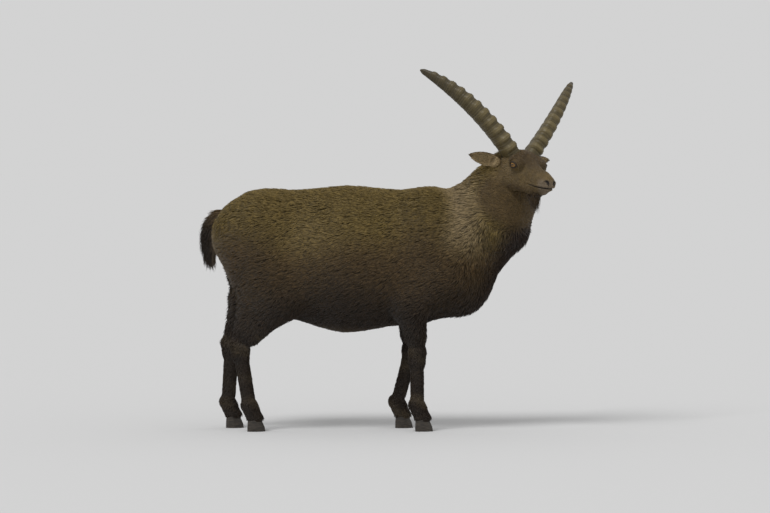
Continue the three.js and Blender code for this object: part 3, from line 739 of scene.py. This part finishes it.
# Ears: the solids' cupped leaf, thin and smooth
def make_ear(side, name):
    """Returns what fur needs: the ear's points and triangles and the way it points."""
    steps, arcs = 40, 25
    s = np.linspace(0, 1, steps)
    along = headward(-0.3, side * 0.94, 0.16)
    opened = headward(0.88, side * 0.3, -0.36)
    across = unit(np.cross(along, opened))
    opened = np.cross(across, along)
    base = np.sqrt(np.maximum(1 - ((s - 0.42) / 0.5) ** 2, 0))
    point = 1 - (np.maximum(s - 0.42, 0) / 0.6) ** 2.2
    half = EAR_WIDTH / 2 * np.where(s < 0.42, base, point) - 1.5
    depth = half * mix(0.95, 0.5, s)
    wall = mix(5.0, 2.2, s)
    hollow = mix(-0.6 * half, depth - wall, smooth(s, 0.08, 0.3))
    centre = on_head(EAR_ROOT[0], side * EAR_ROOT[1], EAR_ROOT[2]) + s[:, None] * (EAR_LENGTH - 2) * along
    angle = np.radians(np.linspace(-90, 90, arcs))
    outer = np.stack([half[:, None] * np.sin(angle), -depth[:, None] * np.cos(angle)], -1)
    back = -angle[1:-1]
    inner = np.stack([(half - wall / 3)[:, None] * np.sin(back), -hollow[:, None] * np.cos(back)], -1)
    ring = np.concatenate([outer, inner], 1)
    points = centre[:, None] + ring[..., :1] * across + ring[..., 1:] * opened
    inside = np.r_[np.zeros(arcs), np.ones(arcs - 2)][None, :, None] * np.ones((steps, 1, 1))
    tip = smooth(s, 0.75, 1.0)[:, None, None]
    tone = mix(mix(BROWN * 1.3, DARK, tip), mix(PALE * 1.5, BROWN, tip), inside)
    points, faces, tone = closed_tube(points, tone)
    faces = outward(points, faces)
    ear = mesh_object(name + "_leaf", points, faces, hide, tone)
    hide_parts(name)
    quads = faces[0]
    triangles = np.concatenate([quads[:, [0, 1, 2]], quads[:, [0, 2, 3]]])
    return points, triangles, along


def make_eye(side, name):
    """A ball with an amber iris and the wide, level pupil of a goat."""
    rows, columns = 48, 64
    centre = eye_centre(side)
    look = eye_axes(side)[2]
    level = unit(np.cross(look, vec(0, 0, 1)))
    up = np.cross(level, look)
    tilt = np.linspace(0, math.pi, rows)
    turned = np.arange(columns) / columns * 2 * math.pi
    a, b = np.meshgrid(tilt, turned, indexing="ij")
    local = np.stack([np.sin(a) * np.cos(b), np.sin(a) * np.sin(b), np.cos(a)], -1)
    bulge = 1 + 0.035 * smooth(local[..., 2], 0.72, 0.95)
    points = centre + (local * bulge[..., None] * (EYE_RADIUS - 0.7)) @ np.stack([level, up, look])
    x, y, out = local[..., 0], local[..., 1], local[..., 2]
    radius = np.hypot(x, y)
    streak = 0.75 + 0.25 * np.sin(np.arctan2(y, x) * 38) * smooth(radius, 0.2, 0.5)
    iris = vec(0.27, 0.135, 0.026) * streak[..., None] * (0.65 + 0.9 * np.maximum(0.7 - radius, 0))[..., None]
    tone = mix(iris, vec(0.012, 0.008, 0.006), smooth(radius, 0.62, 0.72)[..., None])
    white = smooth(radius, 0.84, 0.92)[..., None] * 0.4
    tone = mix(tone, vec(0.06, 0.04, 0.03), white)
    pupil = (np.abs(x / 0.40) ** 3 + np.abs(y / 0.15) ** 3) ** (1 / 3)
    tone = mix(tone, vec(0.003, 0.003, 0.004), (1 - smooth(pupil, 0.85, 1.05))[..., None])
    tone = np.where((out > 0)[..., None], tone, vec(0.05, 0.03, 0.02))
    quads = ring_quads(rows, columns)
    ball = mesh_object(name + "_ball", points.reshape(-1, 3), quads, eye_look, tone.reshape(-1, 3))
    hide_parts(name)


def make_lids(side, name):
    """The two lids as one closed ring: a rounded rim on the ball, a crease above it, the edge in the skin."""
    around, on_ball = 72, 9
    share = np.array([0, 0, 0.04, 0.09, 0.15, 0.22, 0.27, 0.32, 0.38, 0.46, 0.56, 0.7, 0.85, 1.0])
    lift = np.array([-0.9, 0.6, 1.7, 2.2, 2.4, 2.3, 2.1, 2.0, 2.0, 1.9, 1.8, 1.8, 1.8, 1.8])
    theta = np.arange(around) / around * 2 * math.pi
    c, k = np.cos(theta), np.sin(theta)
    rim = np.stack([14.2 * c, np.where(k > 0, 7.8, -6.8) * np.abs(k) ** 1.15], 1)
    flat = mix(rim, 25.0 * np.stack([c, k], 1), share[:, None, None])
    crease = 1.3 * np.exp(-(((share - 0.27) / 0.045) ** 2))[:, None] * smooth(k, 0.1, 0.6)
    reach = EYE_RADIUS + lift[:, None] - crease
    out = np.sqrt(np.maximum(reach**2 - (flat**2).sum(-1), 4.0))
    level, up, look = eye_axes(side)
    points = eye_centre(side) + flat[..., :1] * level + flat[..., 1:] * up + out[..., None] * look
    outer = points[on_ball:]
    on_skin = settle(face, outer.reshape(-1, 3), 4, 4.0).reshape(outer.shape)
    points[on_ball:] = mix(outer, on_skin + 0.4 * look, smooth(share[on_ball:], 0.35, 0.75)[:, None, None])
    points[-1] -= 3.0 * look
    points = points.reshape(-1, 3)
    tone = mix(BARE, coat_colour(points) * 0.8, smooth(np.repeat(share, around), 0.10, 0.45)[:, None])
    quads = ring_quads(len(share), around, is_loop=True)
    lids = mesh_object(name + "_lids", points, quads, hide, tone)


# Hair: closed three-sided tufts, rooted in the skin and bent along its lie. A tuft has a sunk root of three
# points, a bend of three points and a tip.
PIECE_TUFTS = 19000
ROOT_SINK = 1.2
TUFT_QUADS = np.array([[0, 1, 4, 3], [1, 2, 5, 4], [2, 0, 3, 5]])
TUFT_TRIANGLES = np.array([[0, 2, 1], [3, 4, 6], [4, 5, 6], [5, 3, 6]])
TUFT_SHADE = np.array([0.7, 0.7, 0.74, 0.95, 0.95, 1.0, 1.14])
TUFT_PATCH = np.array([(-1, -1), (1, -1), (0, -1), (-1, 0), (1, 0), (0, 0), (0, 1)]) * 0.0015


def laid_flat(ways, normals):
    """Ways turned so that they run along the surface with these normals."""
    return unit(ways - (ways * normals).sum(1, keepdims=True) * normals)


def hair_lie(p, n):
    """The way the hair lies at each skin point, flat on the skin."""
    q = in_head(p)
    z = p[:, 2]
    flow = np.stack([-np.ones(len(p)), np.zeros(len(p)), -0.42 + 0.0008 * (z - 600)], 1)
    leg = (1 - smooth(z, 300, 470))[:, None]
    flow = mix(flow, vec(-0.22, 0, -1), leg)
    chest = smooth(p[:, 0] - 0.35 * (z - 600), 330, 450)[:, None]
    flow = mix(flow, vec(-0.35, 0, -1), chest * (1 - leg))
    flow = flow + 0.22 * np.stack([wave(p, 150, 21), wave(p, 150, 22), wave(p, 130, 23)], 1)
    apart = 0.35 * np.sign(q[:, 1]) * smooth(np.abs(q[:, 1]), 0, 20)
    head_flow = np.stack([-np.ones(len(p)), apart, 0.1 - 0.35 * smooth(-q[:, 2], 60, 110)], 1)
    flow = mix(flow, head_flow @ HEAD.T, smooth(q[:, 0], -40, 10)[:, None] * (headness(p) > 0.02)[:, None])
    return laid_flat(flow, n)


def tufts(name, roots, normals, lie, length, width, rise, tone, uv):
    """One mesh of tufts, one on each root."""
    count = len(roots)
    side = unit(np.cross(normals, lie))
    height = length * np.tan(np.radians(rise))
    thick = width * 0.34
    sway = side * (random.normal(0, 0.10, count) * length)[:, None]
    start = roots - normals * ROOT_SINK
    bend = roots + lie * (0.5 * length)[:, None] + normals * (0.72 * height)[:, None] + sway * 0.35
    tip = roots + lie * length[:, None] + normals * (0.95 * height)[:, None] + sway
    w, t = (width / 2)[:, None], thick[:, None]
    points = np.stack([
        start - side * w, start + side * w, start + normals * t * 1.4,
        bend - side * w * 0.8, bend + side * w * 0.8, bend + normals * t,
        tip,
    ], 1).reshape(-1, 3)
    first = (np.arange(count) * len(TUFT_SHADE))[:, None, None]
    triangles = (first + TUFT_TRIANGLES).reshape(-1, 3)
    quads = (first + TUFT_QUADS).reshape(-1, 4)
    colour = (tone[:, None] * TUFT_SHADE[:, None]).reshape(-1, 3)
    obj = mesh_object(name, points, [quads, triangles], hair, colour)
    place = (uv[:, None] + TUFT_PATCH).reshape(-1, 2)
    layer = obj.data.uv_layers.new(name="OFBake")
    corner = np.zeros(len(obj.data.loops), np.int32)
    obj.data.loops.foreach_get("vertex_index", corner)
    layer.data.foreach_set("uv", place[corner].astype(np.float32).ravel())
    return obj


def share_of_turn(a, b):
    return np.arctan2(a, b) / (2 * math.pi) + 0.5


def unwrap(p):
    """A place on an unwrap of the skin: body, head and each leg have rectangles of their own."""
    q = in_head(p)
    middle = np.interp(p[:, 0], [-500, 200, 400, 560], [640, 610, 680, 850])
    round_body = share_of_turn(p[:, 1], p[:, 2] - middle)
    uv = np.stack([0.01 + 0.98 * np.clip((p[:, 0] + 560) / 1240, 0, 1), 0.43 + 0.55 * round_body], 1)
    head = headness(p) > 0.3
    round_head = share_of_turn(q[:, 1], q[:, 2] + 80)
    on = np.stack([0.01 + 0.38 * np.clip((q[:, 0] + 90) / 330, 0, 1), 0.01 + 0.39 * round_head], 1)
    uv[head] = on[head]
    for number, (name, (joint, foot)) in enumerate(STANCE.items()):
        side = LEFT if name.endswith("left") else RIGHT
        mine = (p[:, 2] < 330) & (p[:, 1] * side > 0) & ((p[:, 0] > 0) == name.startswith("fore"))
        around = share_of_turn(p[:, 1] - side * 84, p[:, 0] - np.interp(p[:, 2], [60, 275], [foot, joint]))
        leg = np.stack([0.42 + 0.145 * number + 0.13 * around, 0.01 + 0.39 * np.clip(p[:, 2] / 330, 0, 1)], 1)
        uv[mine] = leg[mine]
    return uv


def scatter(points, triangles, number, weight):
    """Random places on the triangles, denser where weight is higher, and the normals there."""
    a, b, c = (points[triangles[:, k]] for k in range(3))
    normal = np.cross(b - a, c - a)
    area = np.linalg.norm(normal, axis=1) / 2
    chance = area * weight((a + b + c) / 3)
    pick = np.sort(random.choice(len(area), number, p=chance / chance.sum()))
    u, v = random.random(number), random.random(number)
    over = u + v > 1
    u[over], v[over] = 1 - u[over], 1 - v[over]
    place = a[pick] + u[:, None] * (b - a)[pick] + v[:, None] * (c - a)[pick]
    return place, unit(normal[pick])


def hair_size(p):
    """Length and width of a tuft at each place, and how far it rises, in degrees."""
    z = p[:, 2]
    head = headness(p)
    q = in_head(p)
    leg = 1 - smooth(z, 250, 430)
    neck = smooth(p[:, 0], 330, 430) * (1 - head)
    near_nose = smooth(q[:, 0], 165, 200)
    on_face = smooth(q[:, 0], 0, 90)
    face_length = mix(mix(14, 7.5, on_face), 4.2, near_nose)
    length = mix(mix(mix(30, 38, neck), 13, leg), face_length, head)
    width = mix(mix(4.6, 2.6, leg), mix(2.6, 1.6, on_face), head)
    rise = mix(mix(14, 12, leg), mix(11, 5, near_nose), head)
    return length, width, rise


def grow_coat():
    number = 128000

    def weight(p):
        length, width, _ = hair_size(p)
        return 1 / (length * width) ** 0.72

    root, normal = scatter(skin_points, skin_triangles, number, weight)
    keep = (bareness(root) < 0.25) & (root[:, 2] > HOOF_HEIGHT - 2) & (flesh(root) > -18)
    keep &= from_eyes(root) > EYE_RADIUS + 3.5
    for side in SIDES:
        centre, along, front, across = (v[1] for v in horn_frame(np.array([-0.01, 0.0, 0.01]), side))
        r = root - centre
        forwards = np.abs(r @ front / (HORN_DEPTH / 2 - 2)) ** HORN_SQUARE
        sideways = np.abs(r @ across / (HORN_WIDTH / 2 - 2)) ** HORN_SQUARE
        keep &= (forwards + sideways > 1) | (np.abs(r @ along) > 45)
    root, normal = root[keep], normal[keep]
    length, width, rise = hair_size(root)
    count = len(root)
    length = length * random.uniform(0.8, 1.15, count)
    width = width * random.uniform(0.8, 1.25, count)
    rise = rise * random.uniform(0.6, 1.25, count)
    lie = laid_flat(unit(hair_lie(root, normal) + 0.13 * random.normal(size=(count, 3))), normal)
    tone = coat_colour(root) * random.uniform(0.84, 1.16, (count, 1))
    tone = tone * (1 + 0.12 * wave(root, 34, 31))[:, None]
    rows = (root, normal, lie, length, width, rise, tone, unwrap(root))
    order = np.argsort(root[:, 0], kind="stable")
    for piece, part in enumerate(np.array_split(order, math.ceil(count / PIECE_TUFTS))):
        coat = tufts(f"coat_{piece}", *(row[part] for row in rows))


def grow_on_ear(side, name, leaf):
    points, triangles, along = leaf
    count = 2600
    root, normal = scatter(points, triangles, count, lambda p: np.ones(len(p)))
    opened = headward(0.88, side * 0.3, -0.36)
    outer = (normal @ opened) < 0.25
    lie = laid_flat(unit(along + 0.16 * random.normal(size=root.shape)), normal)
    share = ((root - points[0]) @ along) / EAR_LENGTH
    tone = mix(BROWN * 1.25, DARK * 1.3, smooth(share, 0.7, 1.0)[:, None])
    tone = np.where(outer[:, None], tone, mix(PALE * 1.5, BROWN, smooth(share, 0.75, 1)[:, None]))
    tone = tone * random.uniform(0.75, 1.3, (count, 1))
    length = np.where(outer, 8.0, 11.0) * random.uniform(0.7, 1.2, count)
    length = length * (1 - 0.55 * smooth(share, 0.75, 1))
    width, rise = np.full(count, 1.5), np.full(count, 9.0)
    uv = 0.41 + 0.008 * np.stack([share, (root - points[0]) @ opened / EAR_WIDTH], 1)
    fur = tufts(name + "_fur", root, normal, lie, length, width, rise, tone, uv)


# The tail's short stock and the longer hair on it, and the beard under the chin
def long_hair(name, roots, normals, lie, length, width, rise, tone):
    count = len(roots)
    uv = np.stack([np.full(count, 0.005), (np.arange(count) + 0.5) / count * 0.4], 1)
    obj = tufts(name, roots, normals, lie, length, width, rise, tone, uv)


def tail_frame(s):
    """Points along the tail's curve, the way it runs and the way its back faces."""
    a, b, c = (vec(*p) for p in TAIL_SPINE)
    s = s[:, None]
    middle = a * (1 - s) ** 2 + b * 2 * s * (1 - s) + c * s**2
    along = unit((b - a) * (1 - s) + (c - b) * s)
    return middle, along, unit(np.cross(ACROSS, along))


def make_tail():
    steps, around = 24, 24
    s = np.linspace(0, 1, steps)
    radius = np.interp(s, [0, 0.3, 0.55, 0.8, 1], [18, 21, 22, 19, 8])
    radius[-1] = 2.0
    middle, _, back = tail_frame(s)
    theta = np.arange(around) / around * 2 * math.pi
    out = np.cos(theta)[:, None] * ACROSS * 1.05 + np.sin(theta)[:, None] * back[:, None]
    points = (middle[:, None] + radius[:, None, None] * out).reshape(-1, 3)
    quads = ring_quads(steps, around)
    j = np.arange(around)
    caps = np.stack([j[::-1], (steps - 1) * around + j])
    tone = np.broadcast_to(DARK * 0.8, points.shape)
    stock = mesh_object("tail_stock", points, [quads, caps], hide, tone)
    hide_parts("tail")
    count = 2400
    share = random.uniform(0.12, 1.0, count)
    angle = random.uniform(0, 2 * math.pi, count)
    middle, along, back = tail_frame(share)
    normal = unit(np.cos(angle)[:, None] * ACROSS + np.sin(angle)[:, None] * back)
    reach = np.interp(share, s, radius) - 1
    roots = middle + reach[:, None] * normal
    lie = laid_flat(unit(along + 0.10 * random.normal(size=(count, 3))), normal)
    length = random.uniform(36, 60, count)
    under = smooth(-(normal * back).sum(1), 0.2, 0.8)[:, None]
    top = (1 - smooth(share, 0.1, 0.5))[:, None]
    tone = mix(mix(DARK, BROWN, top), RUMP * 0.7, under * 0.6) * random.uniform(0.75, 1.3, (count, 1))
    width = random.uniform(2.4, 3.8, count)
    rise = random.uniform(4, 12, count)
    long_hair("tail_hair", roots, normal, lie, length, width, rise, tone)


def make_beard():
    count = 700
    x, y = random.uniform(88, 168, count), random.uniform(-13, 13, count)
    roots = settle(face, np.array([on_head(a, b, -124) for a, b in zip(x, y)]), 2)
    point = on_head(118, 0, -124) + vec(0, 0, -104)
    middle = 1 - smooth(np.hypot((x - 128) / 40, y / 20), 0.2, 1.0)
    lie = unit(mix(unit(point - roots), vec(0, 0, -1), 0.3) + 0.07 * random.normal(size=(count, 3)))
    lie = unit(lie + (1 - middle)[:, None] * 0.9 * headward(-1, 0, 0))
    normal = unit(np.cross(np.cross(lie, headward(1, 0.2, 0)), lie) + 0.3 * random.normal(size=(count, 3)))
    normal = laid_flat(normal, lie)
    length = mix(16, 76, middle) * random.uniform(0.62, 1.0, count)
    tone = mix(DARK, BROWN, 0.45) * random.uniform(0.75, 1.3, (count, 1))
    width = random.uniform(2.0, 3.2, count)
    rise = random.uniform(-3, 4, count)
    long_hair("beard_hair", roots, normal, lie, length, width, rise, tone)


for side, word in ((RIGHT, "right"), (LEFT, "left")):
    make_horn(side, "horn_" + word)
    make_eye(side, "eye_" + word)
    make_lids(side, "eye_" + word)
    grow_on_ear(side, "ear_" + word, make_ear(side, "ear_" + word))
make_tail()
make_beard()
grow_coat()

worn_hoof = hoof_material()
for leg in STANCE:
    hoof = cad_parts[leg + "_hoof"]
    hoof.data.materials.clear()
    hoof.data.materials.append(worn_hoof)


# Stage, light and camera
FLOOR_TONE = 0.6
SKY = 0.65
SUN_HEIGHT = 52.0
SUN_SIDE = -32.0
SUN_SPREAD = 24.0
CAMERA_DISTANCE = 14.0
CAMERA_RISE = 2.0
SENSOR_WIDTH = 36.0


def make_stage():
    size = 60.0
    mesh = bpy.data.meshes.new("floor")
    corners = [(-size, -size, 0), (size, -size, 0), (size, size, 0), (-size, size, 0)]
    mesh.from_pydata(corners, [], [(0, 1, 2, 3)])
    material, _, _, shader = principled("pale_floor", 1.0, specular=0.0)
    shader.inputs["Base Color"].default_value = (FLOOR_TONE, FLOOR_TONE, FLOOR_TONE, 1)
    mesh.materials.append(material)
    floor = bpy.data.objects.new("floor", mesh)
    bpy.context.scene.collection.objects.link(floor)
    world = bpy.data.worlds.new("soft_sky")
    bpy.context.scene.world = world
    world.use_nodes = True
    sky = world.node_tree.nodes["Background"]
    sky.inputs["Color"].default_value = (1, 1, 1, 1)
    sky.inputs["Strength"].default_value = SKY


def add_sun():
    """One soft sun, just strong enough that the floor it lights is as bright as the sky behind it."""
    data = bpy.data.lights.new("sun", "SUN")
    data.angle = math.radians(SUN_SPREAD)
    data.energy = math.pi * SKY * (1 / FLOOR_TONE - 1) / math.sin(math.radians(SUN_HEIGHT))
    sun = bpy.data.objects.new("sun", data)
    sun.rotation_euler = (math.radians(90 - SUN_HEIGHT), 0, math.radians(SUN_SIDE))
    bpy.context.scene.collection.objects.link(sun)


def make_camera():
    left, top, width, height = CROP
    middle_x = (left + width / 2 - PIXEL_X) * PIXEL
    middle_z = (GROUND_PIXEL - top - height / 2) * PIXEL
    target = Vector(placed(vec(middle_x, 0, middle_z)))
    rise = math.radians(CAMERA_RISE)
    data = bpy.data.cameras.new("camera")
    data.sensor_width = SENSOR_WIDTH
    data.lens = SENSOR_WIDTH * CAMERA_DISTANCE / (width * PIXEL / 1000)
    data.clip_end = 200
    camera = bpy.data.objects.new("camera", data)
    camera.location = target + CAMERA_DISTANCE * Vector((0, -math.cos(rise), math.sin(rise)))
    camera.rotation_euler = (target - camera.location).to_track_quat("-Z", "Y").to_euler()
    bpy.context.scene.collection.objects.link(camera)
    bpy.context.scene.camera = camera


make_stage()
add_sun()
make_camera()
bpy.context.scene.view_settings.view_transform = "Standard"
